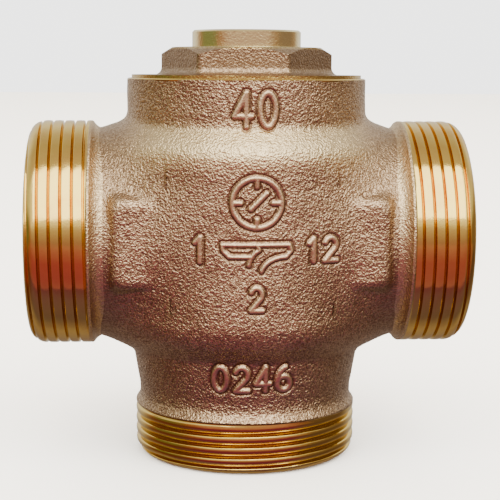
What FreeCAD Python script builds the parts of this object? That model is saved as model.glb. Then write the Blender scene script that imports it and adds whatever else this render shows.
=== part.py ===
"""Thermostatic three-way mixing valve, nominal size 25, with three male G 1 1/2 ports.

A gunmetal casting carries port A on the left, port AB on the right and port B underneath. A hexagon plug closes
the neck. Under the plug sits a wax thermostat: as it warms, its capsule moves down, opens port A and closes port B.

The row frame stands on port B's end face, +Z up, with port AB towards +X. Every piece is drawn about the point
where the port axes cross, and its Placement lifts it by the height of that point.
"""

import FreeCAD, Part
import math
import os

import Sketcher
from FreeCAD import Vector

doc = FreeCAD.newDocument("MixingValve")
sheet = doc.addObject("Spreadsheet::Sheet", "Sizes")


class Dim:
    """A length with its value in mm and the spreadsheet formula that gives it."""

    def __init__(self, value, text):
        self.value = value
        self.text = text

    @staticmethod
    def of(other):
        return other if isinstance(other, Dim) else Dim(float(other), repr(float(other)))

    def __add__(self, other):
        other = Dim.of(other)
        return Dim(self.value + other.value, f"({self.text} + {other.text})")

    def __sub__(self, other):
        other = Dim.of(other)
        return Dim(self.value - other.value, f"({self.text} - {other.text})")

    def __mul__(self, other):
        other = Dim.of(other)
        return Dim(self.value * other.value, f"({self.text} * {other.text})")

    def __truediv__(self, other):
        other = Dim.of(other)
        return Dim(self.value / other.value, f"({self.text} / {other.text})")

    def __neg__(self):
        return Dim(-self.value, f"(0 - {self.text})")

    __radd__ = __add__
    __rmul__ = __mul__

    def __rsub__(self, other):
        return Dim.of(other) - self


def size(alias, value, meaning):
    """One driving dimension: a row of the sheet with its meaning, its number and its alias."""
    row = size.rows = size.rows + 1
    sheet.set(f"A{row}", meaning)
    sheet.set(f"B{row}", str(value))
    sheet.setAlias(f"B{row}", alias)
    return Dim(float(value), f"Sizes.{alias}")


size.rows = 0

# Casting
axis_height = size("axis_height", 48.0, "port B end face to the run axis")
run_half = size("run_half", 46.0, "vertical axis to the end face of port A or AB")
barrel_radius = size("barrel_radius", 22.0, "run barrel beside the thread collar")
barrel_swell = size("barrel_swell", 0.8, "growth of the barrel's radius towards the pot")
pot_radius = size("pot_radius", 29.5, "bellied pot in the middle")
pot_top = size("pot_top", 21.8, "run axis up to the pot's shoulder")
pot_bottom = size("pot_bottom", 23.2, "run axis down to the pot's lower shoulder")
top_round = size("top_round", 5.5, "rounding of the upper shoulder")
bottom_round = size("bottom_round", 9.0, "rounding of the lower shoulder")
neck_radius = size("neck_radius", 25.5, "upper neck")
neck_top = size("neck_top", 33.0, "run axis up to the neck's machined face")
neck_chamfer = size("neck_chamfer", 0.5, "chamfer round the neck's face")
foot_top_radius = size("foot_top_radius", 24.4, "lower neck where it leaves the pot")
foot_low_radius = size("foot_low_radius", 23.0, "lower neck beside the thread collar")
cast_fillet = size("cast_fillet", 2.2, "fillet between a neck and the pot")
flat_reach = size("flat_reach", 23.3, "vertical axis to the face of a spanner flat")
flat_outer = size("flat_outer", 27.9, "vertical axis to a spanner flat's outer end")
flat_height = size("flat_height", 17.6, "height of a spanner flat")
flat_round = size("flat_round", 2.0, "corner radius of a spanner flat")

# Port threads, G 1 1/2
thread_radius = size("thread_radius", 23.9, "crest of the port threads")
thread_pitch = size("thread_pitch", 2.309, "pitch of the port threads")
thread_depth = size("thread_depth", 1.48, "depth of the port threads")
thread_crest = size("thread_crest", 0.42, "width of a crest")
thread_start = size("thread_start", 2.55, "end face to the first root")
thread_collar = size("thread_collar", 13.0, "end face to the end of the thread")
thread_roots = 5
collar_flare = size("collar_flare", 2.0, "length of the flare behind the thread")
end_chamfer = size("end_chamfer", 2.8, "chamfer at the port's end")
port_bore = size("port_bore", 16.0, "radius of the port bores")

# Water ways
plug_bore = size("plug_bore", 21.0, "bore that takes the plug's shank")
plug_depth = size("plug_depth", 12.0, "neck face down to the end of the plug's shank")
gasket_radius = size("gasket_radius", 23.0, "rebate for the plug's gasket")
gasket_depth = size("gasket_depth", 1.5, "depth of the gasket's rebate")
cage_bore = size("cage_bore", 20.3, "upper chamber that holds the cage")
ledge_height = size("ledge_height", 6.0, "run axis up to the ledge under the seat ring")
chamber_radius = size("chamber_radius", 17.6, "mixing chamber")
chamber_floor = size("chamber_floor", 14.8, "run axis down to the mixing chamber's floor")
floor_thickness = size("floor_thickness", 3.0, "web under the mixing chamber")
ledge_web = size("ledge_web", 3.0, "web between the upper chamber and port AB's window")
side_wall = size("side_wall", 2.4, "wall between the end of a port bore and the upper chamber")
inlet_width = size("inlet_width", 22.0, "width of port A's window")
inlet_top = size("inlet_top", 17.5, "run axis up to the roof of port A's window")
inlet_reach = size("inlet_reach", 30.0, "vertical axis to the start of the rise from port A")
outlet_width = size("outlet_width", 24.0, "width of port AB's window")
seat_b_hole = size("seat_b_hole", 9.8, "radius of the hole in port B's seat")
seat_b_lip = size("seat_b_lip", 1.4, "width of port B's raised seat")
seat_b_rise = size("seat_b_rise", 0.8, "height of port B's raised seat")

# Plug
hex_across = size("hex_across", 32.0, "hexagon across its flats")
hex_turn = size("hex_turn", -5.5, "turn of the hexagon from the run, in degrees")
hex_top = size("hex_top", 39.5, "run axis up to the hexagon's top")
hex_round = size("hex_round", 1.5, "rounding of the hexagon's corners")
hex_foot = size("hex_foot", 1.6, "fillet at the hexagon's foot")
boss_radius = size("boss_radius", 11.6, "turned boss on the hexagon")
boss_top = size("boss_top", 43.1, "run axis up to the boss's top")
boss_chamfer = size("boss_chamfer", 0.4, "chamfer round the boss")
flange_radius = size("flange_radius", 24.5, "plug's flange")
flange_thickness = size("flange_thickness", 0.7, "thickness of the plug's flange")
pocket_radius = size("pocket_radius", 11.0, "pocket for the overtravel spring")
pocket_roof = size("pocket_roof", 37.0, "run axis up to the pocket's roof")

# Cartridge
ring_thickness = size("ring_thickness", 3.0, "thickness of port A's seat ring")
seat_a_hole = size("seat_a_hole", 11.2, "radius of the hole in port A's seat ring")
seal_thickness = size("seal_thickness", 0.5, "thickness of the seat ring's gasket")
cage_wall = size("cage_wall", 2.0, "wall of the cage")
cage_window = size("cage_window", 22.0, "width of a window in the cage")
cage_rim = size("cage_rim", 1.8, "height of the cage's rims")
cup_height = size("cup_height", 7.0, "height of the overtravel cup")
cup_wall = size("cup_wall", 1.5, "wall of the overtravel cup")
cup_floor = size("cup_floor", 2.5, "floor of the overtravel cup")
cup_base = size("cup_base", 24.0, "run axis up to the underside of the overtravel cup")
clip_thickness = size("clip_thickness", 1.2, "thickness of the circlip under the cup")
clip_depth = size("clip_depth", 0.9, "depth of the circlip's groove")
clip_width = size("clip_width", 2.4, "radial width of the circlip")
clip_gap = size("clip_gap", 6.0, "opening of the circlip")

# Thermostat
piston_radius = size("piston_radius", 2.0, "piston")
piston_end = size("piston_end", 0.8, "run axis down to the end of the piston")
guide_radius = size("guide_radius", 5.0, "guide sleeve round the piston")
guide_top = size("guide_top", 15.0, "run axis up to the end of the guide")
collar_radius = size("collar_radius", 9.2, "crimped collar of the capsule")
capsule_radius = size("capsule_radius", 7.5, "wax capsule")
capsule_wall = size("capsule_wall", 1.0, "wall of the wax capsule")
capsule_shoulder = size("capsule_shoulder", 4.5, "run axis down to the capsule's shoulder")
capsule_rim = size("capsule_rim", 2.8, "run axis up to the capsule's rim")
collar_thickness = size("collar_thickness", 1.5, "thickness of the capsule's collar")
cap_thickness = size("cap_thickness", 1.2, "thickness of the guide's flange")
stud_radius = size("stud_radius", 4.5, "stud under the capsule")
disc_a_radius = size("disc_a_radius", 14.4, "disc of port A")
disc_a_thickness = size("disc_a_thickness", 1.1, "thickness of port A's disc")
seal_a_radius = size("seal_a_radius", 12.8, "rubber face of port A's disc")
disc_b_radius = size("disc_b_radius", 11.6, "disc of port B")
disc_b_thickness = size("disc_b_thickness", 1.6, "thickness of port B's disc")
seal_b_thickness = size("seal_b_thickness", 1.8, "rubber face of port B's disc")
nut_across = size("nut_across", 13.0, "nut under port B's disc, across its flats")
nut_height = size("nut_height", 2.2, "height of the nut")
stud_end = size("stud_end", 0.5, "stud standing out under the nut")

# Springs
return_mean = size("return_mean", 13.5, "mean radius of the return spring")
return_wire = size("return_wire", 1.5, "wire of the return spring")
return_turns = size("return_turns", 3.0, "turns of the return spring")
over_mean = size("over_mean", 7.7, "mean radius of the overtravel spring")
over_wire = size("over_wire", 2.2, "wire of the overtravel spring")
over_turns = size("over_turns", 3.0, "turns of the overtravel spring")

# Clearances
running_gap = size("running_gap", 0.05, "radial gap of a guided piece")
loose_gap = size("loose_gap", 0.1, "gap beside a seated piece")


size_zero = Dim(0.0, "0")


def place(thing):
    """Lifts a piece from the crossing of the port axes to its height in the row frame."""
    thing.setExpression("Placement.Base.z", axis_height.text)
    return thing


def new_body(name):
    """An empty PartDesign body that stands for one physical piece."""
    body = doc.addObject("PartDesign::Body", "Body_" + name)
    body.Label = name
    return place(body)


def hold(sketch, geometry, end, across, up):
    """Holds one end of a sketch edge at its two coordinates, each bound to the sheet."""
    for kind, axis, coordinate in (("DistanceX", -2, across), ("DistanceY", -1, up)):
        coordinate = Dim.of(coordinate)
        if coordinate.value == 0:
            sketch.addConstraint(Sketcher.Constraint("PointOnObject", geometry, end, axis))
            continue
        forward = coordinate.value > 0
        ends = (-1, 1, geometry, end) if forward else (geometry, end, -1, 1)
        bound = coordinate if forward else -coordinate
        index = sketch.addConstraint(Sketcher.Constraint(kind, *ends, bound.value))
        if "Sizes." in bound.text:
            sketch.setExpression(f"Constraints[{index}]", bound.text)


def new_sketch(body, name, plane):
    """An empty sketch on one of the body's own origin planes."""
    sketch = body.newObject("Sketcher::SketchObject", name)
    support = [f for f in body.Origin.OriginFeatures if f.Role == plane][0]
    sketch.AttachmentSupport = [(support, "")]
    sketch.MapMode = "FlatFace"
    return sketch


def arc_between(start, end, radius):
    """The shorter arc from start to end: anticlockwise for a positive radius, clockwise for a negative one."""
    chord = end - start
    side = Vector(-chord.y, chord.x, 0).normalize() * math.copysign(1, radius)
    centre = (start + end) / 2 + side * math.sqrt(radius**2 - (chord.Length / 2) ** 2)
    first, last = (start, end) if radius > 0 else (end, start)
    angles = [math.atan2(p.y - centre.y, p.x - centre.x) for p in (first, last)]
    return Part.ArcOfCircle(Part.Circle(centre, Vector(0, 0, 1), abs(radius)), *angles)


def draw(sketch, corners):
    """A closed outline. A corner is (across, up), or (across, up, radius) where an arc leads up to it."""
    points = [Vector(Dim.of(c[0]).value, Dim.of(c[1]).value, 0) for c in corners]
    starts = []
    ends = []
    for index, corner in enumerate(corners):
        start, end = points[index - 1], points[index]
        if len(corner) == 2:
            geometry = sketch.addGeometry(Part.LineSegment(start, end), False)
            starts.append((geometry, 1))
            ends.append((geometry, 2))
            continue
        radius = Dim.of(corner[2])
        geometry = sketch.addGeometry(arc_between(start, end, radius.value), False)
        bound = radius if radius.value > 0 else -radius
        held = sketch.addConstraint(Sketcher.Constraint("Radius", geometry, bound.value))
        if "Sizes." in bound.text:
            sketch.setExpression(f"Constraints[{held}]", bound.text)
        starts.append((geometry, 1 if radius.value > 0 else 2))
        ends.append((geometry, 2 if radius.value > 0 else 1))
    for index, corner in enumerate(corners):
        following = starts[(index + 1) % len(corners)]
        sketch.addConstraint(Sketcher.Constraint("Coincident", *ends[index], *following))
        hold(sketch, *following, corner[0], corner[1])


def outline(body, name, plane, *loops):
    """A sketch of one or more closed outlines."""
    sketch = new_sketch(body, name, plane)
    for corners in loops:
        draw(sketch, corners)
    return sketch


def feature(body, kind, name, sketch, **settings):
    """A PartDesign feature on a sketch. A setting that is a Dim is bound to the sheet."""
    made = body.newObject("PartDesign::" + kind, name)
    made.Profile = sketch
    for key, value in settings.items():
        if isinstance(value, Dim):
            setattr(made, key, value.value)
            made.setExpression(key, value.text)
        else:
            setattr(made, key, value)
    sketch.Visibility = False
    doc.recompute()
    return made


def turned(body, name, *loops, about="V_Axis", cut=False):
    """Adds or cuts a solid of revolution of outlines in the XZ plane about the vertical or the run axis."""
    sketch = outline(body, name + "Outline", "XZ_Plane", *loops)
    kind = "Groove" if cut else "Revolution"
    return feature(body, kind, name, sketch, ReferenceAxis=(sketch, [about]), Angle=360.0)


def edges_where(made, test):
    """The names of the edges of a feature whose shape passes a test."""
    return [f"Edge{i + 1}" for i, edge in enumerate(made.Shape.Edges) if test(edge)]


def rounded(body, name, base, test, radius):
    """A fillet on the edges of base that pass a test."""
    made = body.newObject("PartDesign::Fillet", name)
    made.Base = (base, edges_where(base, test))
    made.Radius = radius.value
    made.setExpression("Radius", radius.text)
    doc.recompute()
    return made


def slab(body, name, loops, bottom, height, cut=False):
    """Adds or cuts a straight slab of outlines in plan, from a height above the run axis upwards."""
    sketch = outline(body, name + "Outline", "XY_Plane", *loops)
    bottom = Dim.of(bottom)
    sketch.AttachmentOffset = FreeCAD.Placement(Vector(0, 0, bottom.value), FreeCAD.Rotation())
    sketch.setExpression("AttachmentOffset.Base.z", bottom.text)
    return feature(body, "Pocket" if cut else "Pad", name, sketch, Length=height, Reversed=cut)


def through(body, name, loops, plane, length):
    """Cuts outlines of an upright plane right across the body, half the length to either side."""
    sketch = outline(body, name + "Outline", plane, *loops)
    return feature(body, "Pocket", name, sketch, Length=length, SideType="Symmetric")


def flare(across, along):
    """The radius of an arc that leaves a wall tangentially and steps out across it over a length along it."""
    return (across * across + along * along) / (across * 2)


def box(left, right, low, high):
    """The corners of a rectangle."""
    return [(left, low), (right, low), (right, high), (left, high)]


def polar(radius, turn, degrees):
    """A point at an angle from the run, turned further by a size in degrees."""
    angle = math.radians(turn.value + degrees)
    text = f"({turn.text} + {degrees}) * 1deg"
    return (
        Dim(radius.value * math.cos(angle), f"{radius.text} * cos({text})"),
        Dim(radius.value * math.sin(angle), f"{radius.text} * sin({text})"),
    )


def hexagon(across_flats, turn):
    """The corners of a hexagon given across its flats."""
    corner = across_flats / (2 * math.cos(math.radians(30)))
    return [polar(corner, turn, 60 * index) for index in range(6)]


def upright_edge(edge):
    """True for a straight edge that runs parallel to the vertical axis."""
    return len(edge.Vertexes) == 2 and abs(edge.tangentAt(edge.FirstParameter).z) > 0.999 and (
        abs(edge.Vertexes[0].Z - edge.Vertexes[1].Z) > 1
    )


def rings(reach, inward):
    """The thread's roots as triangles (radius, reach), from the end face at reach towards the crossing."""
    flank = (thread_pitch - thread_crest) * 0.6
    outside = thread_radius + thread_depth * 0.2
    for index in range(thread_roots):
        root = reach + (thread_start + thread_pitch * index) * inward
        yield [(outside, root - flank), (outside, root + flank), (thread_radius - thread_depth, root)]


def swap(corners):
    """Exchanges the two coordinates of every corner."""
    return [(corner[1], corner[0]) for corner in corners]


# Levels on the vertical axis, from the run axis
flange_top = neck_top + flange_thickness
shank_end = neck_top - plug_depth
ring_base = ledge_height + seal_thickness
ring_top = ring_base + ring_thickness
cap_top = capsule_rim + cap_thickness
disc_a_top = cap_top + disc_a_thickness
disc_b_base = -capsule_shoulder - disc_b_thickness
seal_b_base = disc_b_base - seal_b_thickness
nut_base = seal_b_base - nut_height
stud_base = nut_base - stud_end
sleeve_radius = piston_radius + running_gap
capsule_bore = capsule_radius - capsule_wall
capsule_floor = capsule_wall * 1.2 - capsule_shoulder
boot_radius = piston_radius * 1.8
boot_top = capsule_rim - 0.8
boot_base = -piston_end - 0.8
clip_base = cup_base - clip_thickness
bore_end = cage_bore + side_wall


def valve_body():
    """The gunmetal casting, machined at the ports, the neck and the seats."""
    body = new_body("valve_body")
    collar = run_half - thread_collar
    foot = axis_height - thread_collar
    end_radius = thread_radius - end_chamfer
    shoulder = pot_radius - bottom_round * 0.412
    brow = pot_radius - top_round * 0.5
    turned(
        body,
        "Pot",
        [
            (0, -axis_height),
            (end_radius, -axis_height),
            (thread_radius, end_chamfer - axis_height),
            (thread_radius, -foot),
            (foot_low_radius, collar_flare - foot),
            (foot_top_radius, -pot_bottom - cast_fillet * 1.18),
            (shoulder, -pot_bottom, -flare(shoulder - foot_top_radius, cast_fillet * 1.18)),
            (pot_radius, bottom_round * 0.809 - pot_bottom, bottom_round),
            (pot_radius, pot_top - top_round * 0.866),
            (brow, pot_top, top_round),
            (neck_radius, pot_top + cast_fillet, -flare(brow - neck_radius, cast_fillet)),
            (neck_radius, neck_top - neck_chamfer),
            (neck_radius - neck_chamfer, neck_top),
            (0, neck_top),
        ],
    )
    run = turned(
        body,
        "Run",
        [
            (-run_half, 0),
            (run_half, 0),
            (run_half, end_radius),
            (run_half - end_chamfer, thread_radius),
            (collar, thread_radius),
            (collar - collar_flare, barrel_radius),
            (cage_bore, barrel_radius + barrel_swell),
            (-cage_bore, barrel_radius + barrel_swell),
            (collar_flare - collar, barrel_radius),
            (-collar, thread_radius),
            (end_chamfer - run_half, thread_radius),
            (-run_half, end_radius),
        ],
        about="H_Axis",
    )
    draft = math.tan(math.radians(25))
    spread = flat_reach * draft
    half_width = flat_outer + spread
    half_height = flat_height / 2 + spread
    corner = spread + flat_round
    flats = outline(
        body,
        "FlatsOutline",
        "XZ_Plane",
        [
            (-half_width, corner - half_height),
            (corner - half_width, -half_height, corner),
            (half_width - corner, -half_height),
            (half_width, corner - half_height, corner),
            (half_width, half_height - corner),
            (half_width - corner, half_height, corner),
            (corner - half_width, half_height),
            (-half_width, half_height - corner, corner),
        ],
    )
    feature(body, "Pad", "Flats", flats, Length=flat_reach * 2, SideType="Symmetric", TaperAngle=-25.0)
    turned(
        body,
        "WaterWays",
        [
            (0, -axis_height),
            (port_bore, -axis_height),
            (port_bore, -chamber_floor - floor_thickness),
            (seat_b_hole, -chamber_floor - floor_thickness),
            (seat_b_hole, seat_b_rise - chamber_floor),
            (seat_b_hole + seat_b_lip, seat_b_rise - chamber_floor),
            (seat_b_hole + seat_b_lip, -chamber_floor),
            (chamber_radius, -chamber_floor),
            (chamber_radius, ledge_height),
            (cage_bore, ledge_height),
            (cage_bore, shank_end),
            (plug_bore, shank_end),
            (plug_bore, neck_top - gasket_depth),
            (gasket_radius, neck_top - gasket_depth),
            (gasket_radius, neck_top),
            (0, neck_top),
        ],
        cut=True,
    )
    turned(
        body,
        "PortBores",
        box(bore_end, run_half, 0, port_bore),
        box(-run_half, -bore_end, 0, port_bore),
        about="H_Axis",
        cut=True,
    )
    inlet = [
        (cage_bore * -0.5, ledge_height),
        (-bore_end, ledge_height),
        (-bore_end, 0),
        (-inlet_reach, 0),
        (-inlet_reach, inlet_top * 0.57),
        (-bore_end, inlet_top),
        (cage_bore * -0.5, inlet_top),
    ]
    through(body, "InletWindow", [inlet], "XZ_Plane", inlet_width)
    outlet = box(cage_bore * 0.5, bore_end + 0.5, 2.8 - chamber_floor, ledge_height - ledge_web)
    through(body, "OutletWindow", [outlet], "XZ_Plane", outlet_width)
    turned(body, "FootThread", *rings(-axis_height, 1), cut=True)
    right = [swap(ring) for ring in rings(run_half, -1)]
    left = [swap(ring) for ring in rings(-run_half, 1)]
    turned(body, "RunThreads", *right, *left, about="H_Axis", cut=True)
    return body


def hex_plug():
    """The turned plug: shank, flange, hexagon and boss, with the overtravel spring's pocket inside."""
    body = new_body("hex_plug")
    shank = plug_bore - running_gap
    turned(
        body,
        "Turning",
        [
            (0, shank_end),
            (shank, shank_end),
            (shank, neck_top),
            (flange_radius, neck_top),
            (flange_radius, flange_top),
            (hex_across / 2 - 1, flange_top),
            (hex_across / 2 - 1, hex_top),
            (boss_radius, hex_top),
            (boss_radius, boss_top - boss_chamfer),
            (boss_radius - boss_chamfer, boss_top),
            (0, boss_top),
        ],
    )
    block = slab(body, "Hexagon", [hexagon(hex_across, hex_turn)], flange_top, hex_top - flange_top)
    reach = hex_across.value / 2
    corners = rounded(
        body,
        "HexagonCorners",
        block,
        lambda edge: upright_edge(edge) and math.hypot(edge.Vertexes[0].X, edge.Vertexes[0].Y) > reach + 1,
        hex_round,
    )
    foot = flange_top.value
    rounded(
        body,
        "HexagonFoot",
        corners,
        lambda edge: all(
            abs(v.Z - foot) < 1e-4 and reach - 0.5 < math.hypot(v.X, v.Y) < reach * 1.3 for v in edge.Vertexes
        ),
        hex_foot,
    )
    top = hex_across / 2 - 0.15
    turned(
        body,
        "HexagonChamfer",
        [(top, hex_top), (top + 4, hex_top - 2.5), (top + 4, hex_top + 1), (top, hex_top + 1)],
        cut=True,
    )
    turned(
        body,
        "SpringPocket",
        [
            (0, shank_end),
            (pocket_radius, shank_end),
            (pocket_radius, clip_base - loose_gap),
            (pocket_radius + clip_depth, clip_base - loose_gap),
            (pocket_radius + clip_depth, cup_base),
            (pocket_radius, cup_base),
            (pocket_radius, pocket_roof),
            (0, pocket_roof),
        ],
        cut=True,
    )
    return body


def ring(name, inner, outer, low, high):
    """A plain turned ring."""
    body = new_body(name)
    turned(body, "Ring", box(inner, outer, low, high))
    return body


def seat_ring():
    """Port A's seat, pressed on the ledge by the cage, with a nose through its gasket."""
    body = new_body("seat_ring")
    turned(
        body,
        "Ring",
        [
            (seat_a_hole, ledge_height),
            (chamber_radius - loose_gap, ledge_height),
            (chamber_radius - loose_gap, ring_base),
            (cage_bore - loose_gap, ring_base),
            (cage_bore - loose_gap, ring_top),
            (seat_a_hole, ring_top),
        ],
    )
    return body


def spacer_cage():
    """The windowed sleeve between the plug and the seat ring."""
    body = new_body("spacer_cage")
    outer = cage_bore - loose_gap
    turned(body, "Sleeve", box(outer - cage_wall, outer, ring_top, shank_end))
    window = box(cage_window / -2, cage_window / 2, ring_top + cage_rim, shank_end - cage_rim)
    through(body, "RunWindows", [window], "YZ_Plane", cage_bore * 2 + 2)
    through(body, "CrossWindows", [window], "XZ_Plane", cage_bore * 2 + 2)
    return body


def spring_cup():
    """The cup that the piston pushes, held down by the overtravel spring."""
    body = new_body("spring_cup")
    outer = pocket_radius - running_gap
    socket = cup_floor / 2
    turned(
        body,
        "Cup",
        [
            (0, cup_base + socket),
            (sleeve_radius, cup_base + socket),
            (sleeve_radius, cup_base),
            (outer, cup_base),
            (outer, cup_base + cup_height),
            (outer - cup_wall, cup_base + cup_height),
            (outer - cup_wall, cup_base + cup_floor),
            (0, cup_base + cup_floor),
        ],
    )
    return body


def plug_circlip():
    """The open ring that keeps the cup in the plug."""
    body = new_body("plug_circlip")
    outer = pocket_radius + clip_depth - running_gap
    turned(body, "Clip", box(outer - clip_width, outer, clip_base, cup_base))
    opening = box(clip_gap / -2, clip_gap / 2, 0, outer + 2)
    slab(body, "Opening", [opening], clip_base - 1, clip_thickness + 2, cut=True)
    return body


def spring(name, mean, wire, turns, low, high, sides):
    """A wound spring between two levels. Its round wire is drawn with a few sides."""
    body = new_body(name)
    centre = low + wire / 2
    section = []
    for index in range(sides):
        side, rise = polar(wire / 2, size_zero, 360 / sides * index)
        section.append((mean + side, centre + rise))
    sketch = outline(body, "WireOutline", "XZ_Plane", section)
    feature(
        body,
        "AdditiveHelix",
        "Coil",
        sketch,
        ReferenceAxis=(sketch, ["V_Axis"]),
        Mode="height-turns-angle",
        Height=high - low - wire,
        Turns=turns,
    )
    return body


def piston():
    """The polished pin between the wax and the cup."""
    body = new_body("piston")
    top = cup_base + cup_floor / 2
    turned(
        body,
        "Pin",
        [
            (0, -piston_end),
            (piston_radius - 0.4, -piston_end),
            (piston_radius, 0.4 - piston_end),
            (piston_radius, top),
            (0, top),
        ],
    )
    return body


def capsule_cup():
    """The brass cup that holds the wax, with a collar on top and a stud below."""
    body = new_body("capsule_cup")
    turned(
        body,
        "Cup",
        [
            (0, stud_base),
            (stud_radius, stud_base),
            (stud_radius, -capsule_shoulder),
            (capsule_radius, -capsule_shoulder),
            (capsule_radius, capsule_rim - collar_thickness),
            (collar_radius, capsule_rim - collar_thickness),
            (collar_radius, capsule_rim),
            (capsule_bore, capsule_rim),
            (capsule_bore, capsule_floor),
            (0, capsule_floor),
        ],
    )
    return body


def capsule_cap():
    """The capsule's lid, drawn up into the sleeve that guides the piston."""
    body = new_body("capsule_cap")
    turned(
        body,
        "Cap",
        [
            (sleeve_radius, capsule_rim),
            (collar_radius, capsule_rim),
            (collar_radius, cap_top),
            (guide_radius, cap_top),
            (guide_radius, guide_top),
            (sleeve_radius, guide_top),
        ],
    )
    return body


def rubber_boot():
    """The rubber boot that the wax squeezes round the piston."""
    body = new_body("rubber_boot")
    turned(
        body,
        "Boot",
        [
            (0, boot_base),
            (boot_radius, boot_base),
            (boot_radius, boot_top),
            (capsule_bore, boot_top),
            (capsule_bore, capsule_rim),
            (sleeve_radius, capsule_rim),
            (sleeve_radius, -piston_end - loose_gap),
            (0, -piston_end - loose_gap),
        ],
    )
    return body


def wax_charge():
    """The wax round the boot."""
    body = new_body("wax_charge")
    turned(
        body,
        "Wax",
        [
            (0, capsule_floor),
            (capsule_bore, capsule_floor),
            (capsule_bore, boot_top),
            (boot_radius, boot_top),
            (boot_radius, boot_base),
            (0, boot_base),
        ],
    )
    return body


def disc_nut():
    """The nut that holds port B's disc on the stud."""
    body = new_body("disc_nut")
    block = slab(body, "Nut", [hexagon(nut_across, size_zero)], nut_base, nut_height)
    turned(body, "NutHole", box(0, stud_radius + running_gap, nut_base - 1, seal_b_base + 1), cut=True)
    return body


valve_body()
hex_plug()
ring("plug_gasket", plug_bore + loose_gap, gasket_radius - loose_gap, neck_top - gasket_depth, neck_top)
ring("seat_gasket", chamber_radius, cage_bore - loose_gap, ledge_height, ring_base)
seat_ring()
spacer_cage()
spring_cup()
plug_circlip()
spring("overtravel_spring", over_mean, over_wire, over_turns, cup_base + cup_floor, pocket_roof, 4)
piston()
capsule_cup()
capsule_cap()
rubber_boot()
wax_charge()
stem = guide_radius + running_gap
ring("upper_disc", stem, disc_a_radius, cap_top, disc_a_top)
ring("upper_disc_seal", stem, seal_a_radius, disc_a_top, ledge_height - loose_gap)
spring("return_spring", return_mean, return_wire, return_turns, -chamber_floor, cap_top, 4)
stud_hole = stud_radius + running_gap
ring("lower_disc", stud_hole, disc_b_radius, disc_b_base, -capsule_shoulder)
ring("lower_disc_seal", stud_hole, disc_b_radius, seal_b_base, disc_b_base)
disc_nut()

doc.recompute()
os.makedirs("parts", exist_ok=True)
for item in doc.Objects:
    if "Invalid" in item.State or "Error" in item.State:
        raise RuntimeError(f"{item.Label} did not build")
for item in doc.findObjects("PartDesign::Body"):
    if item.Shape.isNull() or not item.Shape.isValid():
        raise RuntimeError(f"{item.Label} is not a valid solid")
    item.Shape.exportStep(f"parts/{item.Label}.step")
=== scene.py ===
"""The look of a thermostatic mixing valve: its casting, threads, plug, springs and studio.

Lengths in the code are in millimetres about the crossing of the port axes, X towards port AB and Z up. Every
mesh is turned to metres in the row frame, whose origin lies under that crossing in port B's end face.
"""

import math

import bmesh
import bpy
import numpy as np
from mathutils import Matrix, Vector


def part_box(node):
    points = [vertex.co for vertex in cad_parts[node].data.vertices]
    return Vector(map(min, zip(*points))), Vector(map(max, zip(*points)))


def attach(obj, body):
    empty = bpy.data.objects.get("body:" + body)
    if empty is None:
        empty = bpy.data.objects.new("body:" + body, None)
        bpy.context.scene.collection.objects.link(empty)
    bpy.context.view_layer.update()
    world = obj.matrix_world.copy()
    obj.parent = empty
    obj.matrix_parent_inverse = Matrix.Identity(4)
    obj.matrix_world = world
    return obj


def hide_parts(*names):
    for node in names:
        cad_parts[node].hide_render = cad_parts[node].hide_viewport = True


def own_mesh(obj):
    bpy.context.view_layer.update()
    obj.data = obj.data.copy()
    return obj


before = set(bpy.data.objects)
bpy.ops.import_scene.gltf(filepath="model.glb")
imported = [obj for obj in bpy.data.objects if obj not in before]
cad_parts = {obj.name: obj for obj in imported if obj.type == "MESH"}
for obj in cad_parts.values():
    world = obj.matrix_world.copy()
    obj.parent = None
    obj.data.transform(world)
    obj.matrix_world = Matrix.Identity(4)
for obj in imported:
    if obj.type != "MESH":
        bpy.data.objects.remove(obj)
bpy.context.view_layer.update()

bl_info = {
    "name": "Mixing valve look",
    "version": (1, 0, 0),
    "blender": (4, 5, 0),
    "location": "View3D > Sidebar > Valve",
    "description": "Builds the look of a cast three-way mixing valve around its packed frame",
    "category": "Object",
}

MM = 0.001
RUN_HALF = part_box("valve_body")[1].x / MM
AXIS_HEIGHT = 48.0
THREAD_RADIUS = 23.9
BORE_RADIUS = 16.0
TO_ROW = Matrix.Translation((0, 0, AXIS_HEIGHT * MM)) @ Matrix.Scale(MM, 4)


# Settings


class CastingSettings(bpy.types.PropertyGroup):
    """Sizes and colours of the casting."""

    voxel: bpy.props.FloatProperty(
        name="Skin mesh", description="Edge length of the casting's mesh in mm", default=0.6, min=0.3, max=2
    )
    belly_blend: bpy.props.FloatProperty(
        name="Belly blend", description="Softness between belly and barrels in mm", default=7.0, min=0.5
    )
    neck_blend: bpy.props.FloatProperty(
        name="Neck blend", description="Softness of the blend at the necks in mm", default=2.6, min=0.2
    )
    mark_height: bpy.props.FloatProperty(
        name="Mark height", description="Height of the cast marks in mm", default=0.5, min=0, max=1
    )
    bronze: bpy.props.FloatVectorProperty(
        name="Bronze", description="Main colour of the skin", subtype="COLOR", default=(0.385, 0.265, 0.16)
    )
    pale_bronze: bpy.props.FloatVectorProperty(
        name="Pale bronze", description="Paler patches", subtype="COLOR", default=(0.52, 0.37, 0.235)
    )
    # Painted highlight: laid on the raised grain and on the raised marks.
    bright_bronze: bpy.props.FloatVectorProperty(
        name="Bright bronze", description="Raised grain", subtype="COLOR", default=(0.85, 0.63, 0.40)
    )
    # Painted highlight: a pale warm colour laid on the belly's upper shoulder, and as painted sheen on the
    # run ports' flares.
    highlight_bronze: bpy.props.FloatVectorProperty(
        name="Highlit bronze", description="Highlit shoulder", subtype="COLOR", default=(1.0, 0.81, 0.47)
    )
    # Painted shade: laid in the low grain, and together with dark oxide at the marks' feet.
    dark_bronze: bpy.props.FloatVectorProperty(
        name="Dark bronze", description="Low grain", subtype="COLOR", default=(0.17, 0.085, 0.05)
    )


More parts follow.
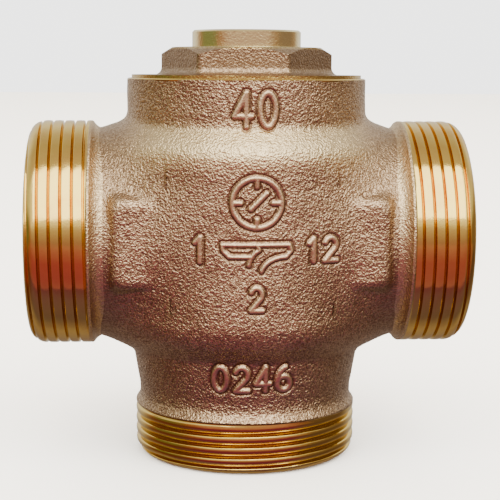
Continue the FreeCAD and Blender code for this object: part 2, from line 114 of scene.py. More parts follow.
class BrassSettings(bpy.types.PropertyGroup):
    """Colours of the machined pieces."""

    brass: bpy.props.FloatVectorProperty(
        name="Brass", description="Cut threads and faces", subtype="COLOR", default=(0.80, 0.59, 0.165)
    )
    deep_brass: bpy.props.FloatVectorProperty(
        name="Deep brass", description="Tarnish in the brass", subtype="COLOR", default=(0.66, 0.37, 0.12)
    )
    bright_brass: bpy.props.FloatVectorProperty(
        name="Bright brass", description="Polished boss", subtype="COLOR", default=(1.0, 0.88, 0.50)
    )
    thread_steps: bpy.props.IntProperty(
        name="Thread steps", description="Facets in one turn of a port thread", default=144, min=24
    )


class StudioSettings(bpy.types.PropertyGroup):
    """Light and camera."""

    key_power: bpy.props.FloatProperty(
        name="Key light", description="Power of the key light in W", default=70.0, min=0, unit="POWER"
    )
    lens: bpy.props.FloatProperty(
        name="Lens", description="Focal length on a 36 mm sensor", default=97.27, min=10, unit="CAMERA"
    )
    floor_color: bpy.props.FloatVectorProperty(
        name="Floor", description="Colour of the floor", subtype="COLOR", default=(0.93, 0.935, 0.95)
    )


# Mesh helpers


def finish_piece(name, bm, body, materials, smooth_angle=None, replaced=()):
    """Turns a bmesh in mm into a piece that rides a body, with its materials."""
    bmesh.ops.transform(bm, matrix=TO_ROW, verts=bm.verts)
    mesh = bpy.data.meshes.new(name)
    for face in bm.faces:
        face.smooth = True
    if smooth_angle is not None:
        limit = math.radians(smooth_angle)
        for edge in bm.edges:
            if len(edge.link_faces) == 2 and edge.calc_face_angle(0) > limit:
                edge.smooth = False
    bm.to_mesh(mesh)
    bm.free()
    piece = bpy.data.objects.new(name, mesh)
    bpy.context.scene.collection.objects.link(piece)
    for material in materials:
        mesh.materials.append(material)
    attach(piece, body)
    if replaced:
        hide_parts(*replaced)
    return piece


def arc(start, end, radius, count=8):
    """Points after start up to end on the shorter arc: anticlockwise for a positive radius."""
    start, end = Vector(start), Vector(end)
    chord = end - start
    side = Vector((-chord.y, chord.x)).normalized() * math.copysign(1, radius)
    centre = (start + end) / 2 + side * math.sqrt(max(radius**2 - (chord.length / 2) ** 2, 0))
    first = math.atan2(start.y - centre.y, start.x - centre.x)
    sweep = 2 * math.asin(min(chord.length / 2 / abs(radius), 1)) * math.copysign(1, radius)
    return [
        (
            centre.x + abs(radius) * math.cos(first + sweep * index / count),
            centre.y + abs(radius) * math.sin(first + sweep * index / count),
        )
        for index in range(1, count + 1)
    ]


def traced(corners, count=8):
    """Points of an outline with corners (across, up) or (across, up, radius of the arc leading there)."""
    points = []
    for corner in corners:
        if len(corner) == 2:
            points.append(corner)
        else:
            points += arc(points[-1], corner[:2], corner[2], count)
    return points


def spun(bm, points, steps=128, close=True):
    """Spins an outline of (radius, height) points about Z and returns the new vertices."""
    verts = [bm.verts.new((radius, 0, height)) for radius, height in points]
    pairs = list(zip(verts, verts[1:] + (verts[:1] if close else [])))
    edges = [bm.edges.new(pair) for pair in pairs if pair[0] is not pair[1]]
    before = set(bm.verts) - set(verts)
    bmesh.ops.spin(
        bm,
        geom=verts + edges,
        cent=(0, 0, 0),
        axis=(0, 0, 1),
        angle=math.tau,
        steps=steps,
        use_merge=True,
        use_duplicate=False,
    )
    return [vert for vert in bm.verts if vert not in before]


def merged(bm, distance=1e-4):
    """Merges doubled vertices and turns all faces outwards."""
    bmesh.ops.remove_doubles(bm, verts=bm.verts, dist=distance)
    bmesh.ops.dissolve_degenerate(bm, edges=bm.edges, dist=distance)
    bmesh.ops.recalc_face_normals(bm, faces=bm.faces)


# The casting's form, as signed distances in mm


def flare(across, along):
    """Radius of an arc that leaves a wall tangentially and steps out across it over a length along it."""
    return (across * across + along * along) / (across * 2)


BELLY = traced(
    [
        (0, -23.2),
        (25.23, -23.2),
        (28.93, -15.92, 9.0),
        (28.93, 17.04),
        (26.18, 21.8, 5.5),
        (0, 21.8),
    ]
)
NECK = [(0, 0), (25.5, 0), (25.5, 34.0), (0, 34.0)]
NECK_RIM = [(20.99, 31.5), (22.99, 31.5), (23.0, 32.98), (25.2, 33.0), (25.5, 32.75), (25.46, 32.5)]
FOOT = [(0, -36), (22.95, -36), (23.0, -33), (24.4, -25.0), (24.7, -20), (0, -20)]
BARREL = [(0, -34), (21.95, -34), (22.0, -31), (22.8, -20), (22.8, 20), (22.0, 31), (21.95, 34), (0, 34)]


def outline_distance(across, up, points):
    """Signed distance to a closed outline, negative inside."""
    nearest = np.full(across.shape, 1e9)
    inside = np.zeros(across.shape, bool)
    for (x0, y0), (x1, y1) in zip(points, points[1:] + points[:1]):
        if x0 == 0 and x1 == 0:
            continue
        dx, dy = x1 - x0, y1 - y0
        share = np.clip(((across - x0) * dx + (up - y0) * dy) / (dx * dx + dy * dy), 0, 1)
        nearest = np.minimum(nearest, (across - x0 - share * dx) ** 2 + (up - y0 - share * dy) ** 2)
        if dy:
            crosses = ((y0 > up) != (y1 > up)) & (across < dx * (up - y0) / dy + x0)
            inside ^= crosses
    distance = np.sqrt(nearest)
    return np.where(inside, -distance, distance)


def soft_min(a, b, softness):
    """The smaller of two distances, rounded where they meet."""
    share = np.clip(softness - np.abs(a - b), 0, None) / softness
    return np.minimum(a, b) - share * share * softness / 4


def pad_distance(x, y, z):
    """Signed distance to the four spanner flats, with drafted walls and rounded edges."""
    lean = math.radians(25)
    face = np.abs(y) - 23.3
    side = (np.abs(x) - 27.9) * math.cos(lean) + face * math.sin(lean)
    top = (np.abs(z) - 8.8) * math.cos(lean) + face * math.sin(lean)
    corner = -soft_min(-side, -top, 2.6)
    return -soft_min(-corner, -face, 1.2)


def casting_distance(points, settings):
    """Signed distance to the cast skin."""
    x, y, z = points.T
    around_z = np.hypot(x, y)
    around_x = np.hypot(y, z)
    barrel = outline_distance(around_x, x, BARREL)
    belly = soft_min(outline_distance(around_z, z, BELLY), barrel, settings.belly_blend)
    upper = soft_min(belly, outline_distance(around_z, z, NECK), settings.neck_blend)
    whole = soft_min(upper, outline_distance(around_z, z, FOOT), settings.neck_blend * 0.8)
    return soft_min(whole, pad_distance(x, y, z), 0.5)


def casting_slope(points, distance, settings, step=0.03):
    """The direction in which the distance to the cast skin grows."""
    slope = np.empty_like(points)
    for axis in range(3):
        offset = np.zeros(3)
        offset[axis] = step
        slope[:, axis] = (casting_distance(points + offset, settings) - distance) / step
    return slope


def settled(points, settings, rounds=3):
    """Moves points onto the cast skin and returns them with their outward directions."""
    for _ in range(rounds):
        distance = casting_distance(points, settings)
        slope = casting_slope(points, distance, settings)
        size = np.maximum((slope**2).sum(1), 0.05)
        points = points - slope * np.clip(distance / size, -1.5, 1.5)[:, None]
    slope = casting_slope(points, casting_distance(points, settings), settings)
    return points, slope / np.linalg.norm(slope, axis=1)[:, None]


# Cast marks, as strokes drawn on the front


def bow(centre, width, height, start, sweep, count=10):
    """A stroke along part of an ellipse, with angles in degrees."""
    return [
        (
            centre[0] + width / 2 * math.cos(math.radians(start + sweep * index / count)),
            centre[1] + height / 2 * math.sin(math.radians(start + sweep * index / count)),
        )
        for index in range(count + 1)
    ]


DIGITS = {
    "0": [bow((0.5, 0.5), 0.8, 1.0, 0, 360, 20)],
    "1": [[(0.25, 0.78), (0.55, 1.0), (0.55, 0.0)]],
    "2": [bow((0.5, 0.70), 0.76, 0.6, 160, -190) + [(0.12, 0.0), (0.92, 0.0)]],
    "4": [[(0.68, 0.0), (0.68, 1.0), (0.08, 0.3), (0.95, 0.3)]],
    "6": [bow((0.5, 0.30), 0.8, 0.6, 0, 360, 18), bow((0.72, 0.36), 1.24, 1.28, 183, -82)],
}


def number_strokes(text, left, low, width, height, gap):
    """Strokes of a number, each as a list of points on the front, in mm."""
    strokes = []
    for place, digit in enumerate(text):
        start = left + place * (width + gap)
        strokes += [[(start + x * width, low + y * height) for x, y in stroke] for stroke in DIGITS[digit]]
    return strokes


def dial_strokes(centre, radius):
    """A plain round dial with a pointer."""
    x, z = centre
    strokes = [bow(centre, radius * 2, radius * 2, 0, 360, 40)]
    for hour in range(0, 12, 3):
        turn = math.radians(hour * 30)
        across, up = math.cos(turn), math.sin(turn)
        strokes.append([(x + across * radius * share, z + up * radius * share) for share in (0.66, 0.98)])
    strokes.append([(x - 1.2, z - 1.2), (x + 1.9, z + 1.9)])
    return strokes


def flow_strokes(left, right, low, high):
    """A three-way fitting: a bar across whose right half bends down between two lines."""
    middle = (left + right) / 2 + 0.2
    upper = [(left, high), (middle - 0.5, high)]
    lower = [(left + 1.4, low), (middle - 0.9, low)]
    corner = [(left, high), (left + 0.2, (low + high) / 2), (left + 1.4, low)]
    crown = [(middle + 0.6, high), (right, high), (right + 0.4, (low + high) / 2), (right - 0.6, low)]
    outer = bow((right - 0.6, low - 3.6), 10.0, 7.2, 90, 78, 8)
    inner = bow((middle + 1.6, low - 2.2), 6.4, 7.6, 112, 60, 8)
    return [upper, lower, corner, crown, outer, inner, [(middle + 0.1, high), (middle + 0.5, high - 1.0)]]


MARK_MARGIN = 1.2


def mark_groups():
    """The cast marks: their strokes with the half width of a stroke."""
    return [
        (number_strokes("40", -4.1, 23.7, 3.9, 6.6, 1.1), 0.50),
        (dial_strokes((0.55, 8.9), 4.9), 0.46),
        (flow_strokes(-6.3, 7.0, -1.75, 0.65), 0.38),
        (number_strokes("1", -12.4, -2.9, 3.2, 4.9, 0.8), 0.46),
        (number_strokes("12", 10.4, -2.9, 3.0, 4.6, 0.7), 0.46),
        (number_strokes("2", -0.9, -12.5, 2.9, 4.6, 0.8), 0.46),
        (number_strokes("0246", -8.0, -30.0, 3.3, 5.0, 1.0), 0.48),
    ]


def mark_fields():
    """Boxes on the front that the cast marks fill: lowest and highest corner."""
    fields = []
    for strokes, _ in mark_groups():
        points = np.array([point for stroke in strokes for point in stroke])
        fields.append((points.min(0) - MARK_MARGIN, points.max(0) + MARK_MARGIN))
    return fields


def mark_relief(points):
    """How far the marks rise over points of the skin, 0 to 1, and how close each is to a mark's foot."""
    relief, foot = np.zeros(len(points)), np.zeros(len(points))
    front = points[:, 1] < 0
    for strokes, half_width in mark_groups():
        corners = np.array([point for stroke in strokes for point in stroke])
        low, high = corners.min(0) - 1.5, corners.max(0) + 1.5
        near = front & (points[:, 0] > low[0]) & (points[:, 0] < high[0])
        near &= (points[:, 2] > low[1]) & (points[:, 2] < high[1])
        flat = points[near][:, [0, 2]]
        if not len(flat):
            continue
        gap = np.full(len(flat), 1e9)
        for stroke in strokes:
            for start, end in zip(stroke, stroke[1:]):
                start, run = np.array(start), np.array(end) - np.array(start)
                share = np.clip(((flat - start) @ run) / max(run @ run, 1e-9), 0, 1)
                gap = np.minimum(gap, np.hypot(*(flat - start - share[:, None] * run).T))
        rise = np.clip((half_width + 0.22 - gap) / 0.5, 0, 1)
        relief[near] = np.maximum(relief[near], rise * rise * (3 - 2 * rise))
        foot[near] = np.maximum(foot[near], np.exp(-(((gap - half_width - 0.32) / 0.26) ** 2)))
    return relief, foot


def cast_waves(points):
    """The slow unevenness of a sand-cast skin."""
    waves = np.zeros(len(points))
    random = np.random.default_rng(7)
    for length, height in ((14, 0.05), (9, 0.04), (5.5, 0.03), (3.2, 0.018), (2.0, 0.012)):
        for _ in range(4):
            direction = random.normal(size=3)
            direction *= math.tau / length / np.linalg.norm(direction)
            waves += height / 2 * np.sin(points @ direction + random.uniform(0, math.tau))
    return waves


# Shaders


class Number:
    """A number socket of a shader that takes part in arithmetic."""

    def __init__(self, tree, socket):
        self.tree = tree
        self.socket = socket

    def math(self, operation, *others):
        """A Math node of this number and others."""
        inputs = {index: value for index, value in enumerate((self, *others))}
        return self.tree.node("ShaderNodeMath", {"operation": operation}, inputs)

    def __add__(self, other):
        return self.math("ADD", other)

    def __sub__(self, other):
        return self.math("SUBTRACT", other)

    def __rsub__(self, other):
        return self.tree.node("ShaderNodeMath", {"operation": "SUBTRACT"}, {0: other, 1: self})

    def __mul__(self, other):
        return self.math("MULTIPLY", other)

    def clamped(self):
        """This number kept between 0 and 1."""
        return self.tree.node("ShaderNodeClamp", {}, {0: self})

    def ramp(self, low, high, to_low=0.0, to_high=1.0):
        """This number's place between two values, eased and spread over two others."""
        inputs = {"Value": self, "From Min": low, "From Max": high, "To Min": to_low, "To Max": to_high}
        return self.tree.node("ShaderNodeMapRange", {"interpolation_type": "SMOOTHSTEP"}, inputs, "Result")

    __radd__ = __add__
    __rmul__ = __mul__


class Tree:
    """A node tree of a material or of the surroundings."""

    def __init__(self, tree):
        self.nodes = tree.nodes
        self.links = tree.links

    def feed(self, socket, value):
        """Sets or links one input."""
        if isinstance(value, Number):
            self.links.new(value.socket, socket)
        elif hasattr(value, "__len__"):
            values = tuple(value)
            socket.default_value = values + (1.0,) * (len(socket.default_value) - len(values))
        else:
            socket.default_value = value

    def node(self, kind, settings, inputs, output=0):
        """Adds a node with its settings and inputs, and returns one output."""
        made = self.nodes.new(kind)
        for key, value in settings.items():
            setattr(made, key, value)
        for key, value in inputs.items():
            self.feed(made.inputs[key], value)
        return Number(self, made.outputs[output])

    def mix(self, share, first, second):
        """A blend of two colours."""
        return self.node("ShaderNodeMix", {"data_type": "RGBA"}, {0: share, 6: first, 7: second}, 2)

    def gradient(self, value, stops):
        """A colour along evenly read stops of (place, colour)."""
        made = self.nodes.new("ShaderNodeValToRGB")
        elements = made.color_ramp.elements
        while len(elements) < len(stops):
            elements.new(0.5)
        for element, (place, color) in zip(elements, stops):
            element.position = place
            element.color = (*color, 1.0)
        self.feed(made.inputs[0], value)
        return Number(self, made.outputs[0])


class Shader(Tree):
    """A material's node tree and its main shader."""

    def __init__(self, name, **fixed):
        self.material = bpy.data.materials.new(name)
        self.material.use_nodes = True
        super().__init__(self.material.node_tree)
        self.main = self.nodes["Principled BSDF"]
        for key, value in fixed.items():
            self.main.inputs[key.replace("_", " ")].default_value = value
        self.place = self.node("ShaderNodeTexCoord", {}, {}, "Object")

    def noise(self, scale, detail=3.0, roughness=0.55):
        """Noise in the piece's own space, scale per metre."""
        inputs = {"Vector": self.place, "Scale": scale, "Detail": detail, "Roughness": roughness}
        return self.node("ShaderNodeTexNoise", {}, inputs, "Fac")

    def painted(self, name):
        """A value that the piece's mesh carries."""
        return self.node("ShaderNodeAttribute", {"attribute_name": name}, {}, "Fac")

    def axis(self, letter):
        """One coordinate in mm about the crossing of the port axes."""
        value = self.node("ShaderNodeSeparateXYZ", {}, {0: self.place}, letter) * (1 / MM)
        return value - AXIS_HEIGHT if letter == "Z" else value

    def radius(self, first, second):
        """The distance from an axis in mm, from the two coordinates across it."""
        a, b = self.axis(first), self.axis(second)
        return (a * a + b * b).math("SQRT")

    def set(self, **varying):
        """Feeds the main shader's inputs."""
        for key, value in varying.items():
            self.feed(self.main.inputs[key.replace("_", " ")], value)

    def bump(self, height, distance, strength=1.0):
        """A normal from a height, with the height's reach in mm."""
        inputs = {"Height": height, "Distance": distance * MM, "Strength": strength}
        return self.node("ShaderNodeBump", {}, inputs, "Normal")


def cast_finish(shader):
    """Colour, roughness and relief of the blasted bronze skin."""
    casting = bpy.context.scene.valve_casting
    leather = shader.noise(1900, 1.0, 0.5)
    grain = shader.noise(3200, 1.0, 0.5)
    folds = shader.noise(560, 2.0, 0.5)
    relief = leather * 0.65 + grain * 0.40 + folds * 0.32
    patches = shader.noise(110, 3.0, 0.5).ramp(0.3, 0.7)
    # Painted highlight and shade: the colour follows the relief's noises, lighter on the raised grain and
    # darker in its pits.
    lumps = (leather * 0.35 + grain * 0.65).ramp(0.40, 0.60)
    base = shader.mix(patches, casting.bronze, casting.pale_bronze)
    low, high = shader.mix(0.6, base, casting.dark_bronze), shader.mix(0.45, base, casting.bright_bronze)
    color = shader.mix(lumps, low, high)
    roughness = lumps.ramp(0, 1, 0.40, 0.28)
    return color, roughness, relief


def cast_bronze():
    """Blasted gunmetal, with painted highlight on the raised marks and dark oxide with painted shade at their
    feet.
    """
    casting = bpy.context.scene.valve_casting
    shader = Shader("cast_bronze", Metallic=1.0)
    color, roughness, relief = cast_finish(shader)
    mark, hollow = shader.painted("mark"), shader.painted("hollow")
    height, reach = shader.axis("Z"), shader.radius("X", "Y")
    # Painted highlight: the shoulder under the neck, away from the barrels, is blended towards the highlight
    # colour.
    shoulder = height.ramp(13.5, 18.5) * (1 - height.ramp(22.5, 25.0)) * reach.ramp(24.5, 26.5)
    shoulder = shoulder * (1 - shader.axis("X").math("ABSOLUTE").ramp(17, 27))
    color = shader.mix(shoulder * 0.6, color, casting.highlight_bronze)
    barrels = shader.axis("X").math("ABSOLUTE").ramp(23, 30)
    color = shader.mix(barrels * 0.45, color, tuple(channel * 0.8 for channel in casting.bronze))
    # Dark oxide and painted shade at the marks' feet.
    color = shader.mix(hollow * 0.75, color, casting.dark_bronze)
    # Painted highlight: the raised marks are paled towards the grain's highlight colour.
    color = shader.mix(mark * 0.6, color, casting.bright_bronze)
    relief = relief * (1 - mark * 0.85) * (1 - hollow * 0.5)
    shader.set(Base_Color=color, Roughness=roughness, Normal=shader.bump(relief, 0.44, 0.9))
    return shader.material


def cut_brass(name, lay="around_run", smooth=0.0):
    """Turned brass with fine tool marks and warm tarnish, left as cast where the mesh says so."""
    brass, casting = bpy.context.scene.valve_brass, bpy.context.scene.valve_casting
    shader = Shader(name, Metallic=1.0)
    cast_color, cast_roughness, cast_relief = cast_finish(shader)
    raw = shader.painted("raw")
    tarnish = shader.noise(160, 4.0, 0.6).ramp(0.4, 0.75)
    along = shader.axis("X") if lay == "around_run" else shader.axis("Z")
    line = (along * 30.0 + shader.noise(260, 2.0) * 3.0).math("SINE")
    cut = shader.mix(tarnish * 0.5, brass.brass, brass.deep_brass)
    # Painted sheen: the smooth share pales the cast flare towards the highlight colour, as well as smoothing
    # its relief.
    cast_color = shader.mix(smooth, cast_color, casting.highlight_bronze)
    cut_relief = line * 0.008 + shader.noise(2600, 2.0) * 0.03
    relief = cast_relief * raw * (1.4 - smooth) + cut_relief * (1 - raw)
    shader.set(
        Base_Color=shader.mix(raw, cut, cast_color),
        Roughness=tarnish.ramp(0, 1, 0.09, 0.19) * (1 - raw) + cast_roughness * raw,
        Normal=shader.bump(relief, 0.35, 0.8),
    )
    return shader.material


def plug_metal():
    """The plug: blasted on its hexagon, turned bright on its boss and along its edges."""
    brass, casting = bpy.context.scene.valve_brass, bpy.context.scene.valve_casting
    shader = Shader("plug_metal", Metallic=1.0)
    cast_color, cast_roughness, cast_relief = cast_finish(shader)
    height, reach = shader.axis("Z"), shader.radius("X", "Y")
    boss = height.ramp(39.4, 39.6)
    bright_top = height.ramp(38.9, 39.3) * (1 - boss)
    rim = reach.ramp(23.6, 24.2)
    bright = (boss + bright_top * 0.35 + rim * 0.6).clamped()
    line = (reach * 24.0 + shader.noise(260, 2.0) * 2.0).math("SINE")
    polished = shader.mix(boss, brass.brass, brass.bright_brass)
    cast_color = shader.mix(0.6, cast_color, tuple(channel * 0.72 for channel in casting.bronze))
    shader.set(
        Base_Color=shader.mix(bright, cast_color, polished),
        Roughness=bright * 0.16 + cast_roughness * (1 - bright),
        Normal=shader.bump(cast_relief * (0.8 - bright * 0.62) + line * bright * 0.006, 0.35, 0.8),
    )
    return shader.material


def plain_metal(name, color, roughness, turned=30.0):
    """A small metal piece with fine marks round its axis."""
    shader = Shader(name, Metallic=1.0)
    cloud = shader.noise(300, 3.0)
    line = (shader.axis("Z") * turned + cloud * 2.0).math("SINE")
    darker = tuple(channel * 0.7 for channel in color)
    shader.set(
        Base_Color=shader.mix(cloud.ramp(0.3, 0.7), color, darker),
        Roughness=cloud.ramp(0.3, 0.7, roughness, roughness + 0.12),
        Normal=shader.bump(line, 0.004, 0.5),
    )
    return shader.material


def soft_material(name, color, roughness):
    """Rubber, fibre or wax with a fine matt grain."""
    shader = Shader(name, Metallic=0.0)
    cloud = shader.noise(420, 4.0)
    lighter = tuple(min(channel * 1.5 + 0.02, 1) for channel in color)
    shader.set(
        Base_Color=shader.mix(cloud.ramp(0.35, 0.7), color, lighter),
        Roughness=cloud.ramp(0.3, 0.7, roughness, roughness + 0.15),
        Normal=shader.bump(shader.noise(2600, 2.0), 0.02, 0.5),
    )
    return shader.material


# Operators


class VALVE_OT_casting(bpy.types.Operator):
    """Models the cast skin with its blends, spanner flats and raised marks, and the water ways inside"""

    bl_idname = "valve.casting"
    bl_label = "Casting"

    def execute(self, context):
        settings = context.scene.valve_casting
        bronze = cast_bronze()
        bm = self.rough_skin(settings.voxel)
        self.trim(bm)
        self.refine_marks(bm)
        self.shape(bm, settings)
        finish_piece("casting_skin", bm, "valve", [bronze], replaced=["valve_body"])
        finish_piece("water_ways", self.inside(settings), "valve", [bronze], 35)
        rim = bmesh.new()
        spun(rim, NECK_RIM, 128, False)
        merged(rim)
        finish_piece("neck_rim", rim, "valve", [cut_brass("cut_neck", "around_neck")], 25)
        return {"FINISHED"}

    def rough_skin(self, voxel):
        """The solids of the casting joined and remeshed, in mm."""
        bm = bmesh.new()
        for outline in (BELLY, NECK, FOOT):
            spun(bm, outline[1:-1] if outline[0][0] else outline, 96)
        new = spun(bm, [(radius, along) for radius, along in BARREL], 96)
        bmesh.ops.rotate(bm, verts=new, cent=(0, 0, 0), matrix=Matrix.Rotation(math.pi / 2, 3, "Y"))
        for side in (-1, 1):
            block = bmesh.ops.create_cube(bm, size=1)["verts"]
            bmesh.ops.scale(bm, verts=block, vec=(22, 46.4, 19))
            bmesh.ops.translate(bm, verts=block, vec=(17.5 * side, 0, 0))
        merged(bm)
        mesh = bpy.data.meshes.new("rough")
        bm.to_mesh(mesh)
        bm.free()
        rough = bpy.data.objects.new("rough", mesh)
        bpy.context.scene.collection.objects.link(rough)
        remesh = rough.modifiers.new("remesh", "REMESH")
        remesh.mode = "VOXEL"
        remesh.voxel_size = voxel
        graph = bpy.context.evaluated_depsgraph_get()
        skin = bmesh.new()
        skin.from_mesh(rough.evaluated_get(graph).to_mesh())
        bpy.data.objects.remove(rough)
        return skin

    def trim(self, bm):
        """Cuts the skin off where the machined pieces begin."""
        cuts = [
            ((32.4, 0, 0), (1, 0, 0)),
            ((-32.4, 0, 0), (-1, 0, 0)),
            ((0, 0, 32.8), (0, 0, 1)),
            ((0, 0, -34.4), (0, 0, -1)),
        ]
        for place, direction in cuts:
            bmesh.ops.bisect_plane(
                bm,
                geom=bm.verts[:] + bm.edges[:] + bm.faces[:],
                dist=1e-4,
                plane_co=place,
                plane_no=direction,
                clear_outer=True,
            )

    def refine_marks(self, bm):
        """Divides the skin finely where the marks stand."""
        for _ in range(2):
            chosen = set()
            for face in bm.faces:
                centre = face.calc_center_median()
                if centre.y > 0:
                    continue
                for low, high in mark_fields():
                    if low[0] < centre.x < high[0] and low[1] < centre.z < high[1]:
                        chosen.update(face.edges)
                        break
            bmesh.ops.subdivide_edges(bm, edges=list(chosen), cuts=1, use_grid_fill=True)

    def shape(self, bm, settings):
        """Moves the skin onto the casting's form and raises the marks."""
        points = np.array([vert.co for vert in bm.verts])
        points, outward = settled(points, settings)
        relief, foot = mark_relief(points)
        height = settings.mark_height * (relief - foot * 0.15) + cast_waves(points) * 0.6
        points = points + outward * height[:, None]
        # The mark layer carries the marks' painted highlight; the layer at their feet carries dark oxide and
        # painted shade.
        mark, hollow = bm.verts.layers.float.new("mark"), bm.verts.layers.float.new("hollow")
        for vert, point, rise, low in zip(bm.verts, points, relief, foot):
            vert.co = point
            vert[mark], vert[hollow] = rise, low
        bmesh.ops.recalc_face_normals(bm, faces=bm.faces)

    def inside(self, settings):
        """The casting's inner walls, copied from the solid."""
        bm = bmesh.new()
        bm.from_mesh(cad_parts["valve_body"].data)
        bmesh.ops.remove_doubles(bm, verts=bm.verts, dist=1e-6)
        bmesh.ops.transform(bm, matrix=TO_ROW.inverted(), verts=bm.verts)
        centres = np.array([face.calc_center_median() for face in bm.faces])
        depth = casting_distance(centres, settings)
        along, height = np.abs(centres[:, 0]), centres[:, 2]
        in_run = np.hypot(centres[:, 1], height) < BORE_RADIUS + 0.2
        in_foot = np.hypot(along, centres[:, 1]) < BORE_RADIUS + 0.2
        keep = (depth < -0.5) | in_run & (along < RUN_HALF - 0.1)
        keep |= (height < -33) & in_foot & (height > 0.1 - AXIS_HEIGHT)
        keep &= ((along <= 31) | in_run) & ((height >= -33) | in_foot)
        outer = [face for face, kept in zip(bm.faces, keep) if not kept]
        bmesh.ops.delete(bm, geom=outer, context="FACES")
        return bm


class VALVE_OT_port_threads(bpy.types.Operator):
    """Cuts the right-hand G 1 1/2 threads on the three ports, with their chamfers, end faces and flares"""

    bl_idname = "valve.port_threads"
    bl_label = "Port threads"

    def execute(self, context):
        settings = context.scene.valve_brass
        run, foot = cut_brass("cut_run", "around_run", 0.3), cut_brass("cut_foot", "around_neck")
        left = Matrix.Translation((-RUN_HALF, 0, 0)) @ Matrix.Rotation(math.pi / 2, 4, "Y")
        right = Matrix.Translation((RUN_HALF, 0, 0)) @ Matrix.Rotation(-math.pi / 2, 4, "Y")
        down = Matrix.Translation((0, 0, -AXIS_HEIGHT))
        run_end, foot_end = ((12.7, 13.0), (16.0, 22.1)), ((11.0, 11.2), (13.5, 22.95))
        ports = [
            ("port_a_thread", left, run_end, 0.52, (0.72, 0.10), run),
            ("port_ab_thread", right, run_end, 0.02, (0.72, 0.10), run),
            ("port_b_thread", down, foot_end, 0.0, (0.45, 0.30), foot),
        ]
        for name, matrix, end, lead, form, brass in ports:
            bm = self.sleeve(end, lead, form, settings.thread_steps)
            bmesh.ops.transform(bm, matrix=matrix, verts=bm.verts)
            finish_piece(name, bm, "valve", [brass], 30)
        return {"FINISHED"}

    def sleeve(self, end, lead, form, steps):
        """One port's thread, drawn upwards from its end face in mm, and the flare where it ends."""
        (cut_end, collar), (flare_end, barrel) = end
        land, crown = form
        pitch, depth, chamfer = 2.309, 1.1, 2.8
        first_root, rows, run_out = 2.55, 20, 0.9
        bm = bmesh.new()
        verts = [bm.verts.new((THREAD_RADIUS, 0, pitch * row / rows - 2 * pitch)) for row in range(rows + 1)]
        edges = [bm.edges.new(pair) for pair in zip(verts, verts[1:])]
        bmesh.ops.spin(
            bm,
            geom=verts + edges,
            cent=(0, 0, 0),
            axis=(0, 0, 1),
            dvec=(0, 0, pitch / steps),
            angle=math.tau,
            steps=steps,
            use_duplicate=False,
        )
        turn = bm.verts[:] + bm.edges[:] + bm.faces[:]
        for count in range(1, math.ceil(collar / pitch) + 3):
            copy = bmesh.ops.duplicate(bm, geom=turn)["geom"]
            moved = [item for item in copy if isinstance(item, bmesh.types.BMVert)]
            bmesh.ops.translate(bm, verts=moved, vec=(0, 0, pitch * count))
        bmesh.ops.remove_doubles(bm, verts=bm.verts, dist=1e-3)
        for vert in bm.verts:
            x, y, z = vert.co
            turn = math.atan2(y, x)
            phase = ((z - first_root) / pitch - turn / math.tau + lead) % 1
            off = abs(2 * phase - 1)
            groove = min(max((off - land) / (1 - land), 0), 1)
            cut = crown * off * off + (1 - crown) * groove * groove * (3 - 2 * groove)
            level = min(max(z, 0), collar)
            fading = min(max((level - cut_end + run_out) / run_out, 0), 1)
            starting = min(level / 1.2, 1)
            lip = max(1 - level / (chamfer + 0.6), 0)
            radius = THREAD_RADIUS - depth * cut * (1 - fading) * starting
            radius -= chamfer * (1 - math.sqrt(1 - lip * lip))
            vert.co = (radius * math.cos(turn), radius * math.sin(turn), level)
        bmesh.ops.remove_doubles(bm, verts=bm.verts, dist=1e-3)
        bmesh.ops.dissolve_degenerate(bm, edges=bm.edges, dist=1e-3)
        spun(bm, [(BORE_RADIUS, 0.35), (BORE_RADIUS + 0.35, 0), (THREAD_RADIUS - chamfer, 0)], steps, False)
        reach = flare_end - collar - 0.3
        step = THREAD_RADIUS - 0.15 - barrel
        bend = arc((THREAD_RADIUS - 0.15, collar + 0.3), (barrel, flare_end), -flare(step, reach) * 1.1, 10)
        collar_edge = [(THREAD_RADIUS, collar), (THREAD_RADIUS - 0.15, collar + 0.3)]
        spun(bm, collar_edge + bend + [(barrel - 0.4, flare_end + 0.5)], steps, False)
        bmesh.ops.remove_doubles(bm, verts=bm.verts, dist=5e-3)
        bmesh.ops.recalc_face_normals(bm, faces=bm.faces)
        raw = bm.verts.layers.float.new("raw")
        for vert in bm.verts:
            vert[raw] = min(max((vert.co.z - cut_end + 0.1) / 0.3, 0), 1)
        return bm


class VALVE_OT_plug(bpy.types.Operator):
    """Gives the plug its blasted and turned finish"""

    bl_idname = "valve.plug"
    bl_label = "Plug"

    def execute(self, context):
        dress("hex_plug", plug_metal(), 32)
        return {"FINISHED"}


def dress(node, material, angle=35):
    """Gives a node of the frame its material and smooth shading up to an angle."""
    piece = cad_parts[node]
    piece.data.materials.clear()
    piece.data.materials.append(material)
    weld = piece.modifiers.new("weld", "WELD")
    weld.merge_threshold = 2e-6
    split = piece.modifiers.new("edges", "EDGE_SPLIT")
    split.split_angle = math.radians(angle)
    return piece


